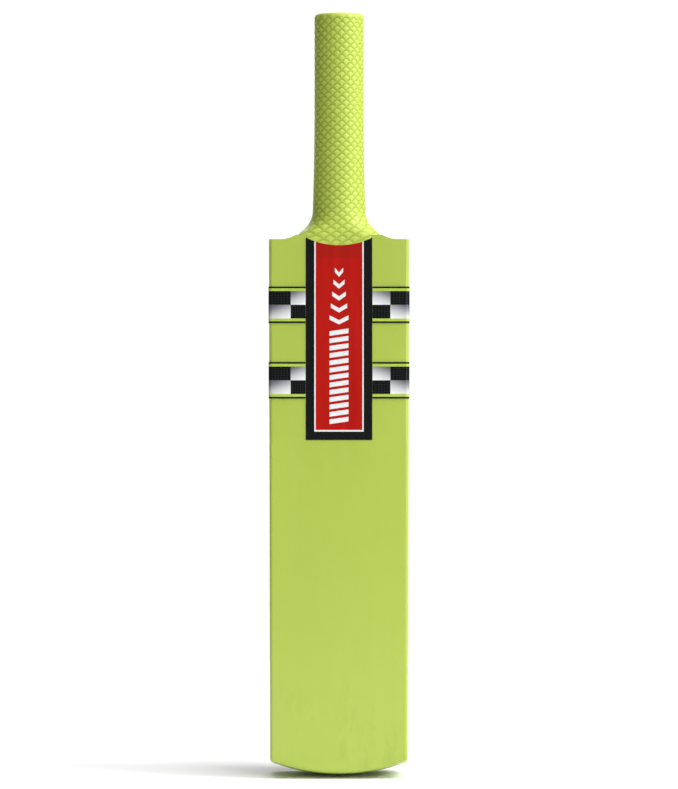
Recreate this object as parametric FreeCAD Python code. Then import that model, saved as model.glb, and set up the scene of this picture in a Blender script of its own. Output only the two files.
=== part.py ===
import FreeCAD, Part
import functools
import math
import os

# Cricket bat of a short junior pattern: a one-piece willow blade with a raised spine, a laminated
# cane handle in a V splice, twine, tape and a moulded rubber grip, and printed films and labels.
#
# Frame: +Z runs from the toe to the handle, the striking face looks towards -Y and the ridged back
# towards +Y. While modelling, the flat of the face is the plane y = 0. At the end every piece is
# shifted along Y so that the bat's box is centred on the origin. All lengths are in millimetres.

Vec = FreeCAD.Vector
X_AXIS = Vec(1, 0, 0)

# --- driving dimensions ---
BAT_LENGTH = 560.0
SHOULDER_Z = 393.3            # height of the shoulder corners
BLADE_WIDTH_TOP = 102.2
BLADE_WIDTH_TOE = 100.4
TOE_RADIUS = 144.0            # the toe is crowned both ways, like a piece of a sphere
TOE_CROWN_Y = 36.0            # depth of the toe's lowest point behind the face
FACE_BOW_START_Z = 244.0      # the face is flat below this and bows back above it
FACE_SETBACK = 3.1            # how far the face has bowed back at the shoulders

# Back of the blade: (height, depth at the edges, depth of the roof's crest).
BLADE_STATIONS = [
    (-4.0, 44.4, 53.4),
    (14.0, 49.8, 59.2),
    (40.0, 55.4, 65.4),
    (80.0, 60.9, 72.6),
    (128.0, 63.8, 76.7),
    (180.0, 63.0, 73.8),
    (243.0, 58.2, 62.2),
    (306.0, 52.2, 53.3),
    (410.0, 41.8, 42.3),
]

# Raised spine, its tip and then its long run: (height, half width at its foot, depth of its crest).
# The heights of each run are evenly spaced, which keeps the lofts free of waves.
SPINE_TIP_STATIONS = [
    (168.0, 1.5, 73.6),
    (181.0, 3.5, 73.5),
    (194.0, 8.0, 72.3),
    (207.0, 12.0, 71.2),
    (220.0, 14.4, 69.8),
    (233.0, 16.0, 68.5),
    (246.0, 17.2, 67.2),
]
SPINE_RUN_STATIONS = [
    (246.0, 17.2, 67.2),
    (285.0, 18.4, 62.4),
    (324.0, 18.5, 57.7),
    (363.0, 18.5, 52.9),
    (402.0, 18.5, 48.0),
]
SPINE_TOP_SLOPE = 0.25        # fall of the spine's roof from its crest, per mm of width
SPINE_FLANK_WIDTH = 4.5       # width of the steep flank on each side
SPINE_BURY = 0.4              # the flank's foot lies this far under the back's surface
SPINE_ROOT = 12.0             # how far the spine's solid reaches below its foot, into the blade
SPINE_ROOT_SPREAD = 3.0

# Handle over its grip, the flare and then the shaft, evenly spaced again:
# (height, half width, depth of its front, depth of its back, squareness of its front).
FLARE_STATIONS = [
    (386.0, 34.6, 2.6, 48.6, 6.0),
    (391.0, 33.6, 2.1, 48.8, 6.0),
    (396.0, 31.2, 1.7, 49.0, 5.2),
    (401.0, 26.4, 2.15, 48.7, 3.5),
    (406.0, 22.2, 2.9, 47.4, 2.6),
    (411.0, 20.0, 3.3, 46.1, 2.3),
    (416.0, 19.4, 3.45, 44.9, 2.1),
]
SHAFT_STATIONS = [
    (416.0, 19.4, 3.45, 44.9, 2.1),
    (446.0, 18.6, 3.75, 40.9, 2.1),
    (476.0, 18.2, 3.1, 39.4, 2.1),
    (506.0, 18.1, 2.15, 37.9, 2.1),
    (536.0, 18.1, 1.3, 36.7, 2.1),
    (566.0, 18.1, 0.6, 35.7, 2.1),
]
BACK_SQUARENESS = 2.05        # 2 is an ellipse
SECTION_POINTS = 32
HANDLE_LEAN = 2.3             # degrees that the handle leans forward
HANDLE_TOP_Y = 18.3           # centre of the handle's top
HANDLE_TOP_Z = BAT_LENGTH - 0.5   # its back rim stands this much higher, because the handle leans
HANDLE_TOP_ROUNDING = 3.4

# Shoulders, seen from the front.
SHOULDER_FLAT_X = 43.0        # the flat stretch runs from here to the edge
SHOULDER_SWEEP_RADIUS = 22.0
SHOULDER_CAP_X = 31.5         # above here the neck takes over

# Layers on the handle, from outside to inside.
GRIP_WALL = 1.6
TAPE_WALL = 0.3
TWINE_WALL = 0.6
GRIP_HOLE_RADIUS = 10.5       # the grip's top lip leaves the end of the cane open
GRIP_FRONT_LOW_Z = 388.8      # lowest point of the grip's edge on the face
GRIP_FRONT_EDGE_RADIUS = 55.0
GRIP_BACK_LOW_Z = 392.2
GRIP_BACK_EDGE_RADIUS = 84.6
BINDING_TOP_GAP = 5.0         # bare cane above the twine
TAPE_OVER_TWINE = 2.0         # the tape ends this much higher

# Splice and cane.
SPLICE_TIP_Z = 302.0
SPLICE_TOP_Z = 412.0
SPLICE_HALF_WIDTH = 16.0
SPRING_THICKNESS = 1.2
SLIP_THICKNESS = 7.2
STRIP_WIDTH = 11.4            # width of the middle one of the three strips in a slip

# Films and labels.
FILM = 0.25
SEAM_DEPTH = 29.5             # the black film starts this far behind the face
FILM_TAB_X = 44.5             # outside this, the film wraps over the shoulder
FILM_TOE_GAP = 0.3
LABEL_HALF_WIDTH = 24.2
LABEL_BOTTOM_Z = 246.9
SPEAR_HALF_WIDTH = 13.8
SPEAR_SHOULDER_Z = 280.0
SPEAR_TIP_Z = 217.0
BAND_CENTRES = {"upper": 345.4, "lower": 290.4}
BAND_HEIGHT = 26.6
BAND_DIP = 3.5                # degrees that the strips run down towards the spine on the back
BAND_GAP = 0.2                # between a band and a label or the foot of the spine

EDGE_RADIUS = 2.2             # rounding of the blade's long edges and its toe

# --- limits of the shapes that only cut ---
FAR = 200.0                   # half size across
FRONT_Y = -40.0               # in front of the whole bat
BEHIND_Y = 120.0              # behind it
BELOW_Z = -20.0               # under it
OVER_Z = 700.0                # over it
FACE_BOW_RUN_OUT = 8.0        # the face keeps bowing back this far above the shoulders
TOE_CUT_TOP_Z = 26.0          # the crowned toe is cut below this height
TOE_EDGE_TOP_Z = 16.0         # the edges round the toe all lie below this height
EDGE_TOLERANCE = 0.6          # how near to the outline an edge counts as one of the long side edges
ROOF_OVERHANG = 2.0           # the roof's solid is wider than the blade by this on each side
EDGE_SPLIT_Y = 26.0           # the grip's front and back lower edges meet at this depth
TRIM_REACH = 45.0             # half width of the blocks that trim the grip's lower edge
TRIM_FLOOR_Z = 300.0
SLOT_DEPTH = 400.0            # length of the slots that part the cane
SLOT_OVER = 20.0
FILM_INSET = 0.3              # the film's edge stays this far inside the blade's outline
FILM_TAB_RISE = 4.0
LABEL_TOP_Z = SHOULDER_Z + 1.0    # both labels run up under the grip
LABEL_REACH_Y = 15.0
SPEAR_START_Y = 20.0
SPEAR_BULGE = 0.66            # width half way down the spear's point, as a share of the full width
BAND_SPLIT_Y = 25.0           # bands end at the face label in front of this and at the spine behind it
THINNEST_SPINE = 0.3          # smallest half roof and smallest drop of a spine section
SPINE_ROOF_GROWTH = 0.3       # a film on the spine widens its roof by this share of its thickness


def block(x_low, x_high, y_low, y_high, z_low, z_high):
    return Part.makeBox(x_high - x_low, y_high - y_low, z_high - z_low, Vec(x_low, y_low, z_low))


def above(z):
    return block(-FAR, FAR, -FAR, FAR, z, OVER_Z)


def smooth_edge(points):
    curve = Part.BSplineCurve()
    curve.interpolate(points)
    return curve.toShape()


def prism(edges, direction):
    return Part.Face(Part.Wire(edges)).extrude(direction)


def polygon_prism(points, direction):
    return Part.Face(Part.makePolygon(points + points[:1])).extrude(direction)


def half_width(z):
    """Half width of the bare blade at a height."""
    part_way = z / SHOULDER_Z
    return 0.5 * (BLADE_WIDTH_TOE + (BLADE_WIDTH_TOP - BLADE_WIDTH_TOE) * part_way)


# --- the blade's outer form ---

def back_wire(x, depths, growth):
    """Closed section at a constant x, whose rear side is the back's curve along the blade."""
    heights = [station[0] for station in BLADE_STATIONS]
    back = [Vec(x, depth + growth, z) for z, depth in zip(heights, depths)]
    low = Vec(x, FRONT_Y, heights[0])
    high = Vec(x, FRONT_Y, heights[-1])
    lines = [Part.makeLine(back[-1], high), Part.makeLine(high, low), Part.makeLine(low, back[0])]
    return Part.Wire([smooth_edge(back)] + lines)


def roof_solid(growth):
    """Solid whose back is the blade's roof: straight from the crest to both edges."""
    edge_depths = [station[1] for station in BLADE_STATIONS]
    crest_depths = [station[2] for station in BLADE_STATIONS]
    reach = 0.5 * BLADE_WIDTH_TOP + ROOF_OVERHANG
    wires = [back_wire(-reach, edge_depths, growth)]
    wires.append(back_wire(0, crest_depths, growth))
    wires.append(back_wire(reach, edge_depths, growth))
    return Part.makeLoft(wires, True, True)


def outline_prism(growth):
    """The blade seen from the front, with its swept shoulders, as a prism through the bat."""
    top_z = SHOULDER_Z + growth
    rise = SHOULDER_SWEEP_RADIUS - math.sqrt(
        SHOULDER_SWEEP_RADIUS ** 2 - (SHOULDER_FLAT_X - SHOULDER_CAP_X) ** 2)
    mid_x = 0.5 * (SHOULDER_FLAT_X + SHOULDER_CAP_X)
    mid_rise = SHOULDER_SWEEP_RADIUS - math.sqrt(
        SHOULDER_SWEEP_RADIUS ** 2 - (SHOULDER_FLAT_X - mid_x) ** 2)
    sides = []
    for side in (1, -1):
        toe = Vec(side * (half_width(BELOW_Z) + growth), FRONT_Y, BELOW_Z)
        corner = Vec(side * (half_width(SHOULDER_Z) + growth), FRONT_Y, top_z)
        flat_end = Vec(side * SHOULDER_FLAT_X, FRONT_Y, top_z)
        sweep_mid = Vec(side * mid_x, FRONT_Y, top_z + mid_rise)
        cap = Vec(side * SHOULDER_CAP_X, FRONT_Y, top_z + rise)
        sides.append((toe, corner, flat_end, sweep_mid, cap))
    edges = []
    for toe, corner, flat_end, sweep_mid, cap in sides:
        edges.append(Part.makeLine(toe, corner))
        edges.append(Part.makeLine(corner, flat_end))
        edges.append(Part.Arc(flat_end, sweep_mid, cap).toShape())
    edges.append(Part.makeLine(sides[0][0], sides[1][0]))
    edges.append(Part.makeLine(sides[0][4], sides[1][4]))
    return prism(Part.__sortEdges__(edges), Vec(0, BEHIND_Y - FRONT_Y, 0))


def face_slab(depth):
    """Everything between a surface parallel to the striking face and a plane far behind it."""
    top = Vec(-FAR, FACE_SETBACK + depth, SHOULDER_Z + FACE_BOW_RUN_OUT)
    rise = top.z - FACE_BOW_START_Z
    bow_radius = (rise ** 2 + FACE_SETBACK ** 2) / (2 * FACE_SETBACK)
    half_rise = 0.5 * rise
    half_setback = bow_radius - math.sqrt(bow_radius ** 2 - half_rise ** 2)
    bow_start = Vec(-FAR, depth, FACE_BOW_START_Z)
    bow_mid = Vec(-FAR, depth + half_setback, FACE_BOW_START_Z + half_rise)
    toe = Vec(-FAR, depth, BELOW_Z)
    toe_back = Vec(-FAR, BEHIND_Y, BELOW_Z)
    top_back = Vec(-FAR, BEHIND_Y, top.z)
    edges = [Part.makeLine(toe, bow_start), Part.Arc(bow_start, bow_mid, top).toShape()]
    edges.append(Part.makeLine(top, top_back))
    edges.append(Part.makeLine(top_back, toe_back))
    edges.append(Part.makeLine(toe_back, toe))
    return prism(edges, Vec(2 * FAR, 0, 0))


def toe_tool(growth):
    """Keeps what lies above the crowned toe. The sphere's pole is turned away from the toe."""
    crown = Part.makeSphere(TOE_RADIUS + growth)
    crown.rotate(Vec(0, 0, 0), X_AXIS, 90)
    crown.translate(Vec(0, TOE_CROWN_Y, TOE_RADIUS))
    return crown.fuse(above(TOE_CUT_TOP_Z))


def edge_middle(edge):
    return edge.valueAt(0.5 * (edge.FirstParameter + edge.LastParameter))


def is_side_edge(edge, growth):
    """True for the long edges between a side of the blade and its face or back."""
    middle = edge_middle(edge)
    off_side = abs(abs(middle.x) - half_width(middle.z) - growth)
    return off_side < EDGE_TOLERANCE and edge.BoundBox.ZLength > 0.5 * SHOULDER_Z


def is_toe_edge(edge):
    """True for the edges round the toe, apart from the short stubs at its corners."""
    low = edge_middle(edge).z < TOE_EDGE_TOP_Z and edge.BoundBox.ZLength < TOE_EDGE_TOP_Z
    return low and edge.Length > 2 * EDGE_RADIUS


def blade_body(growth):
    """The blade without its spine and neck, grown outward by a film's thickness."""
    body = roof_solid(growth).common(outline_prism(growth))
    body = body.common(face_slab(-growth))
    body = body.common(toe_tool(growth))
    rounded = [e for e in body.Edges if is_side_edge(e, growth) or is_toe_edge(e)]
    return body.makeFillet(EDGE_RADIUS + growth, rounded)


def back_depth(x, z):
    """Depth of the bare back at a place, taking the back as straight between stations."""
    for low, high in zip(BLADE_STATIONS, BLADE_STATIONS[1:]):
        if low[0] <= z <= high[0]:
            part_way = (z - low[0]) / (high[0] - low[0])
            edge = low[1] + (high[1] - low[1]) * part_way
            crest = low[2] + (high[2] - low[2]) * part_way
            return crest + (edge - crest) * abs(x) / half_width(z)
    raise ValueError("no blade at height " + str(z))


def spine_section(height, half_foot, crest, growth):
    """Cross-section of the raised spine: a gentle roof between two steeper flanks."""
    half_roof = max(THINNEST_SPINE, half_foot - SPINE_FLANK_WIDTH)
    roof_edge = crest - SPINE_TOP_SLOPE * half_roof
    foot = min(roof_edge - THINNEST_SPINE, back_depth(half_foot, height) - SPINE_BURY)
    points = [Vec(0, crest + growth, height)]
    points.append(Vec(half_roof + SPINE_ROOF_GROWTH * growth, roof_edge + growth, height))
    points.append(Vec(half_foot + growth, foot + growth, height))
    points.append(Vec(half_foot + SPINE_ROOT_SPREAD + growth, foot - SPINE_ROOT, height))
    points += [Vec(-p.x, p.y, p.z) for p in reversed(points[1:])]
    return Part.makePolygon(points + points[:1])


def spine_solid(growth):
    runs = []
    for stations in (SPINE_TIP_STATIONS, SPINE_RUN_STATIONS):
        sections = [spine_section(*station, growth) for station in stations]
        runs.append(Part.makeLoft(sections, True, False))
    return runs[0].fuse(runs[1])


# --- the handle's form ---

def power(value, exponent):
    return math.copysign(abs(value) ** exponent, value)


def handle_section(height, half, front, back, squareness, growth):
    """Closed rounded section whose front half can be squarer than its back half."""
    inset = GRIP_WALL - growth
    centre_y = 0.5 * (front + back)
    half_x = half - inset
    half_y = 0.5 * (back - front) - inset
    points = []
    for i in range(SECTION_POINTS):
        angle = 2 * math.pi * i / SECTION_POINTS
        bend = 2.0 / (squareness if math.sin(angle) < 0 else BACK_SQUARENESS)
        x = half_x * power(math.cos(angle), bend)
        y = centre_y + half_y * power(math.sin(angle), bend)
        points.append(Vec(x, y, height))
    curve = Part.BSplineCurve()
    curve.interpolate(points, True)
    return Part.Wire(curve.toShape())


def handle_top(drop):
    """Block above the handle's top plane, which is square to the leaning handle."""
    return leaned(block(-FAR, FAR, -FAR, FAR, -drop, FAR - drop))


def leaned(shape):
    """Moves a shape from the handle's own axes, whose origin is its top, into the bat's frame."""
    shape.rotate(Vec(0, 0, 0), X_AXIS, HANDLE_LEAN)
    shape.translate(Vec(0, HANDLE_TOP_Y, HANDLE_TOP_Z))
    return shape


@functools.cache
def handle_form(growth, top_drop):
    """The handle and its flare: growth 0 is the inside of the rubber grip."""
    runs = []
    for stations in (FLARE_STATIONS, SHAFT_STATIONS):
        sections = [handle_section(*station, growth) for station in stations]
        runs.append(Part.makeLoft(sections, True, False))
    form = runs[0].fuse(runs[1]).cut(handle_top(top_drop))
    rim = [e for e in form.Edges if e.isClosed() and edge_middle(e).z > BAT_LENGTH - 2 * HANDLE_TOP_ROUNDING]
    return form.makeFillet(HANDLE_TOP_ROUNDING - GRIP_WALL + growth, rim)


def blade_form(growth):
    """The whole blade with its spine, and its neck up to the top of the splice."""
    neck = handle_form(growth, GRIP_WALL).cut(above(SPLICE_TOP_Z))
    return blade_body(growth).fuse([spine_solid(growth), neck])


# --- handle pieces ---

def splice_wedge():
    corners = [(-SPLICE_HALF_WIDTH, SPLICE_TOP_Z), (SPLICE_HALF_WIDTH, SPLICE_TOP_Z), (0, SPLICE_TIP_Z)]
    return polygon_prism([Vec(x, FRONT_Y, z) for x, z in corners], Vec(0, BEHIND_Y - FRONT_Y, 0))


def handle_core(form):
    """The laminated handle as one block: its shaft, and the wedge that fills the splice."""
    shaft = handle_form(-TAPE_WALL - TWINE_WALL, GRIP_WALL).common(above(SPLICE_TOP_Z))
    return form.common(splice_wedge()).fuse(shaft)


def cane_and_springs(form):
    """Four slips of cane, each of three strips, with a rubber spring between neighbouring slips."""
    core = handle_core(form)
    half_spring = 0.5 * SPRING_THICKNESS
    inner = half_spring + SLIP_THICKNESS
    outer = inner + SPRING_THICKNESS
    slips = {
        "front": (-FAR, -outer),
        "front_inner": (-inner, -half_spring),
        "back_inner": (half_spring, inner),
        "back": (outer, FAR),
    }
    springs = {"front": (-outer, -inner), "middle": (-half_spring, half_spring), "back": (inner, outer)}
    half_strip = 0.5 * STRIP_WIDTH
    strips = {"left": (-FAR, -half_strip), "middle": (-half_strip, half_strip), "right": (half_strip, FAR)}
    nodes = {}
    for slip, (y_low, y_high) in slips.items():
        for strip, (x_low, x_high) in strips.items():
            slot = leaned(block(x_low, x_high, y_low, y_high, -SLOT_DEPTH, SLOT_OVER))
            nodes["cane_" + slip + "_" + strip] = core.common(slot)
    for spring, (y_low, y_high) in springs.items():
        slot = leaned(block(-FAR, FAR, y_low, y_high, -SLOT_DEPTH, SLOT_OVER))
        nodes["rubber_spring_" + spring] = core.common(slot)
    return nodes


def sleeve(outside, inside, top_gap):
    """A layer on the shaft, from the top of the splice to a gap below the handle's top."""
    layer = handle_form(outside, GRIP_WALL).cut(handle_form(inside, GRIP_WALL))
    layer = layer.common(above(SPLICE_TOP_Z))
    return layer.cut(handle_top(GRIP_WALL + top_gap))


def edge_trim(low_z, radius, y_low, y_high):
    """Block under the grip's lower edge, which sags between the shoulders as an arc."""
    end_z = low_z + radius - math.sqrt(radius ** 2 - TRIM_REACH ** 2)
    left = Vec(-TRIM_REACH, y_low, end_z)
    right = Vec(TRIM_REACH, y_low, end_z)
    arc = Part.Arc(left, Vec(0, y_low, low_z), right).toShape()
    floor_left = Vec(-TRIM_REACH, y_low, TRIM_FLOOR_Z)
    floor_right = Vec(TRIM_REACH, y_low, TRIM_FLOOR_Z)
    edges = [arc, Part.makeLine(right, floor_right), Part.makeLine(floor_right, floor_left)]
    edges.append(Part.makeLine(floor_left, left))
    return prism(edges, Vec(0, y_high - y_low, 0))


def rubber_grip(form, films):
    """The rubber sleeve: a closed skin with an open top and a lower edge cut along two arcs."""
    grip = handle_form(GRIP_WALL, 0).cut(handle_form(0, GRIP_WALL))
    hole = leaned(Part.makeCylinder(GRIP_HOLE_RADIUS, 4 * GRIP_WALL, Vec(0, 0, -2 * GRIP_WALL)))
    grip = grip.cut(hole)
    grip = grip.cut(edge_trim(GRIP_FRONT_LOW_Z, GRIP_FRONT_EDGE_RADIUS, FRONT_Y, EDGE_SPLIT_Y))
    grip = grip.cut(edge_trim(GRIP_BACK_LOW_Z, GRIP_BACK_EDGE_RADIUS, EDGE_SPLIT_Y, BEHIND_Y))
    return grip.cut([form] + films)


# --- films and labels ---

def back_film(form, grown):
    """Black film over the back and the rear of both edges, with a tab over each shoulder."""
    region = outline_prism(-FILM_INSET)
    for side in (-1, 1):
        x_low, x_high = sorted((side * FILM_TAB_X, side * FAR))
        region = region.fuse(block(x_low, x_high, FRONT_Y, BEHIND_Y, 0, SHOULDER_Z + FILM_TAB_RISE))
    region = region.common(toe_tool(-FILM_TOE_GAP))
    return grown.cut(form).common(face_slab(SEAM_DEPTH)).common(region)


def face_label(form, grown):
    half = LABEL_HALF_WIDTH
    region = block(-half, half, FRONT_Y, LABEL_REACH_Y, LABEL_BOTTOM_Z, LABEL_TOP_Z)
    return grown.cut(form).common(region)


def spear_prism():
    """Outline of the spine's label: straight sides that bend in to a point below."""
    half = SPEAR_HALF_WIDTH
    start_y = SPEAR_START_Y
    edges = []
    for side in (-1, 1):
        shoulder = Vec(side * half, start_y, SPEAR_SHOULDER_Z)
        bulge = Vec(side * SPEAR_BULGE * half, start_y, 0.5 * (SPEAR_TIP_Z + SPEAR_SHOULDER_Z))
        edges.append(Part.Arc(shoulder, bulge, Vec(0, start_y, SPEAR_TIP_Z)).toShape())
        edges.append(Part.makeLine(shoulder, Vec(side * half, start_y, LABEL_TOP_Z)))
    edges.append(Part.makeLine(Vec(-half, start_y, LABEL_TOP_Z), Vec(half, start_y, LABEL_TOP_Z)))
    return prism(Part.__sortEdges__(edges), Vec(0, BEHIND_Y - start_y, 0))


def band_stretch(side, low_z):
    """What one strip covers: level round the face and the edge, dipping across the back."""
    corner = 0.5 * BLADE_WIDTH_TOP
    dip = corner * math.tan(math.radians(BAND_DIP))
    x_low, x_high = sorted((0, side * FAR))
    level = block(x_low, x_high, FRONT_Y, BAND_SPLIT_Y, low_z, low_z + BAND_HEIGHT)
    outline = [(0, low_z - dip), (corner, low_z), (FAR, low_z)]
    outline += [(x, z + BAND_HEIGHT) for x, z in reversed(outline)]
    corners = [Vec(side * x, BAND_SPLIT_Y, z) for x, z in outline]
    return level.fuse(polygon_prism(corners, Vec(0, BEHIND_Y - BAND_SPLIT_Y, 0)))


def chequer_bands(form, twice_grown, film):
    """Four strips, each wrapped from the face label over an edge to the foot of the spine."""
    layer = twice_grown.cut([form, film])
    foot = SPINE_RUN_STATIONS[-1][1] + 2 * FILM + BAND_GAP
    label_side = LABEL_HALF_WIDTH + BAND_GAP
    keep_out = block(-label_side, label_side, FRONT_Y, BAND_SPLIT_Y, 0, OVER_Z)
    keep_out = keep_out.fuse(block(-foot, foot, BAND_SPLIT_Y, BEHIND_Y, 0, OVER_Z))
    nodes = {}
    for name, centre in BAND_CENTRES.items():
        for side_name, side in (("left", -1), ("right", 1)):
            strip = layer.common(band_stretch(side, centre - 0.5 * BAND_HEIGHT))
            nodes["band_" + name + "_" + side_name] = strip.cut(keep_out)
    return nodes


def build():
    form = blade_form(0)
    grown = blade_form(FILM)
    twice_grown = blade_form(2 * FILM)
    nodes = {"blade": form.cut(splice_wedge())}
    nodes.update(cane_and_springs(form))
    nodes["twine_binding"] = sleeve(-TAPE_WALL, -TAPE_WALL - TWINE_WALL, BINDING_TOP_GAP)
    nodes["grip_tape"] = sleeve(0, -TAPE_WALL, BINDING_TOP_GAP - TAPE_OVER_TWINE)
    film = back_film(form, grown)
    label = face_label(form, grown)
    spine_label = twice_grown.cut(grown).common(spear_prism())
    nodes["back_film"] = film
    nodes["face_label"] = label
    nodes["spine_label"] = spine_label
    nodes["grip"] = rubber_grip(form, [film, label, spine_label])
    nodes.update(chequer_bands(form, twice_grown, film))
    return nodes


def centred(nodes):
    """Shifts every piece along Y so that the bat's box is centred on the origin."""
    boxes = [shape.optimalBoundingBox(False, False) for shape in nodes.values()]
    middle = 0.5 * (min(b.YMin for b in boxes) + max(b.YMax for b in boxes))
    print("shift along y", round(-middle, 3), "lowest z", round(min(b.ZMin for b in boxes), 3))
    for shape in nodes.values():
        shape.translate(Vec(0, -middle, 0))
    return nodes


os.makedirs("parts", exist_ok=True)
for name, shape in centred(build()).items():
    solids = shape.Solids
    print(name, len(solids), shape.isValid(), round(shape.Volume, 1))
    piece = solids[0] if len(solids) == 1 else shape
    piece.exportStep("parts/" + name + ".step")
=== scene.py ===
import math

import bmesh
import bpy
import numpy as np
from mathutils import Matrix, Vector
from mathutils.bvhtree import BVHTree
from mathutils.geometry import delaunay_2d_cdt


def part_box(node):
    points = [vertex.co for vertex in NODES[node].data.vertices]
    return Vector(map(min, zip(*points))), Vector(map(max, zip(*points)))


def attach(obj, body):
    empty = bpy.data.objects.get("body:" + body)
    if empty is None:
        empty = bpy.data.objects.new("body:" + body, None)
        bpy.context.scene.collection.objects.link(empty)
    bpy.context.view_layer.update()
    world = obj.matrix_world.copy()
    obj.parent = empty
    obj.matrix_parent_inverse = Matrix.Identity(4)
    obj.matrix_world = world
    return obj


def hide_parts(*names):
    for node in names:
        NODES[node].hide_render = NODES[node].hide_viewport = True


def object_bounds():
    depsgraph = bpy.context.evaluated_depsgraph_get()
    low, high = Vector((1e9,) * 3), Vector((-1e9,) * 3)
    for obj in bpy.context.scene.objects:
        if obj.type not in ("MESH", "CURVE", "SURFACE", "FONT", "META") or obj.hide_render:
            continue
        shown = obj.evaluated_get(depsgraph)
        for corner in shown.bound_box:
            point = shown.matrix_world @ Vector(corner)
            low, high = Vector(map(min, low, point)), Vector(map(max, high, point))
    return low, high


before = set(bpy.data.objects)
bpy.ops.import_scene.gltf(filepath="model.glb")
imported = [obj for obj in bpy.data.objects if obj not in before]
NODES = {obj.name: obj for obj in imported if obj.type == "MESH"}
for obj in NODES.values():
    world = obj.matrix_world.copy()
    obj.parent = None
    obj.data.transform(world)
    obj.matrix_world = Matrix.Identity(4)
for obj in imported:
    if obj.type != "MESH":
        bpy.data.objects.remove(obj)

# The bat stands on its toe: +Z to the handle, striking face towards -Y, ridged back towards +Y.
# Sizes are in millimetres; MM turns them into the frame's metres.
MM = 0.001
CAD_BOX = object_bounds()
FACE_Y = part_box("blade")[0].y / MM
BLADE_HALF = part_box("blade")[1].x / MM
GRIP_LOW, GRIP_TOP = (corner.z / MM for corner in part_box("grip"))

# Ink layers: how far they reach under and over the surface that they are printed on.
INK_SINK = 0.08
MESH_LIFT = 0.02
INK_LIFT = 0.04
OVERPRINT_LIFT = 0.07
INK_SPACING = 2.0
MARK_SPACING = 3.0
PRINT_HALF_WIDTH = 49.9
CLEAR = 200.0                 # rays start this far in front of the face or behind the back
CREASES = (-49.4, -48.8, -48.2, 0.0, 48.2, 48.8, 49.4)    # x where the back bends
TOE_RADIUS = 144.0
TOE_MARGIN = 3.2

# The rubber grip's moulded scales: a half scale's height, the pattern's depth, and the mesh's fineness.
SCALES_ROUND = 17
SCALE_ROW = 3.0
SCALE_DEPTH = 0.48
SCALE_COLUMNS = 12
SCALE_STEPS = 8

# One scale's relief: bend of its outline, the shares of its height that rise and fall, and its crown.
SCALE_SHAPE = 0.58
SCALE_RISE = 0.18
SCALE_FALL = 0.55
SCALE_CROWN = 2.2

# The sleeve itself. Its rim's relief is counted on from PATTERN_SHIFT, a whole number of scales.
GRIP_WALL = 1.5
GRIP_HOLE_RADIUS = 10.5
RIM_RADIUS = 3.3
RIM_STEPS = 12
RIM_BASE = GRIP_TOP - 5.2
RIM_CORNER = GRIP_TOP - RIM_RADIUS - 1.4
RIM_RELIEF = 0.85
PATTERN_SHIFT = 6 * SCALE_ROW
SHAFT_LOW = 420.0             # well above the grip's lower edge
HANDLE_LEAN = 2.3             # degrees towards the face
HANDLE_TOP_Y = -20.0          # middle of the handle at GRIP_TOP

# Chequered bands: two rows of squares between two lime gaps and two thin black lines.
BAND_MIDDLE = {"upper": 345.4, "lower": 290.4}
BAND_SLOPE = math.tan(math.radians(3.5))    # on the back the bands run down towards the spine
BAND_SPLIT = 25.0                           # depth behind the face where the dipping stretch begins
CHEQUER_HALF = 10.0
GAP_TOP = 12.0
SQUARE_WIDTH = 13.2
FACE_START = 24.2             # x where the squares on the face begin
BACK_END = 15.0               # x inside of which the squares on the back have ended
BEYOND = 60.0                 # past the blade's half width, and past the depth of its edge
FACE_COLUMNS = {"left": [35.2], "right": [37.4]}
EDGE_COLUMNS = [5.2, 18.4, 32.3, 45.4]
BACK_COLUMNS = {
    ("upper", "left"): [41.7, 28.3],
    ("upper", "right"): [40.3, 26.3],
    ("lower", "left"): [45.6, 32.0],
    ("lower", "right"): [45.4, 31.6],
}
CORNER = 1.2                  # so near to the blade's side a band lies on the edge

# The stage, in metres.
FLOOR_RADIUS = 0.9
FLOOR_CORNERS = 96
LIGHTS_AIM = (0, 0, 0.28)

# Outline of the mesh on the raised spine: (height, half width).
RIDGE_PRINT = [(183.0, 0.0), (195.0, 6.8), (207.0, 11.2), (220.0, 15.4), (233.0, 17.8), (250.0, 19.0),
               (285.0, 19.4), (402.0, 19.4)]
MESH_PITCH = 1.9

# Colours that more than one material uses.
# PAINTED_HIGHLIGHT_GREY is a painted highlight, on the back's crest and along the raised spine's foot
PAINTED_HIGHLIGHT_GREY = (0.022, 0.026, 0.025)
SCUFFED_LIME = (0.27, 0.36, 0.05)

# Face label: half widths, and heights above which the keyline and the panel begin.
KEYLINE_OUTER = 18.0
KEYLINE_INNER = 17.0
KEYLINE_BOTTOM = 253.0
PANEL_BOTTOM = 254.2


# --- materials ---

def new_material(name, **sockets):
    """A Principled material; sockets are its constant inputs, with _ for a space."""
    material = bpy.data.materials.new(name)
    material.use_nodes = True
    shader = material.node_tree.nodes["Principled BSDF"]
    for socket, value in sockets.items():
        shader.inputs[socket.replace("_", " ")].default_value = value
    return material, material.node_tree, shader


def coloured(shader, colour):
    """Links a colour to the shader."""
    shader.id_data.links.new(colour, shader.inputs["Base Color"])


def add_node(tree, kind, settings=None, **links):
    """A node with its settings, and each input linked from a socket or set to a value."""
    made = tree.nodes.new(kind)
    for key, value in (settings or {}).items():
        setattr(made, key, value)
    for key, value in links.items():
        place = int(key[1:]) if key[0] == "i" and key[1:].isdigit() else key.replace("_", " ")
        if isinstance(value, bpy.types.NodeSocket):
            tree.links.new(value, made.inputs[place])
        else:
            made.inputs[place].default_value = value
    return made


def maths(tree, operation, *values):
    links = {f"i{place}": value for place, value in enumerate(values)}
    return add_node(tree, "ShaderNodeMath", {"operation": operation}, **links).outputs[0]


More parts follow.
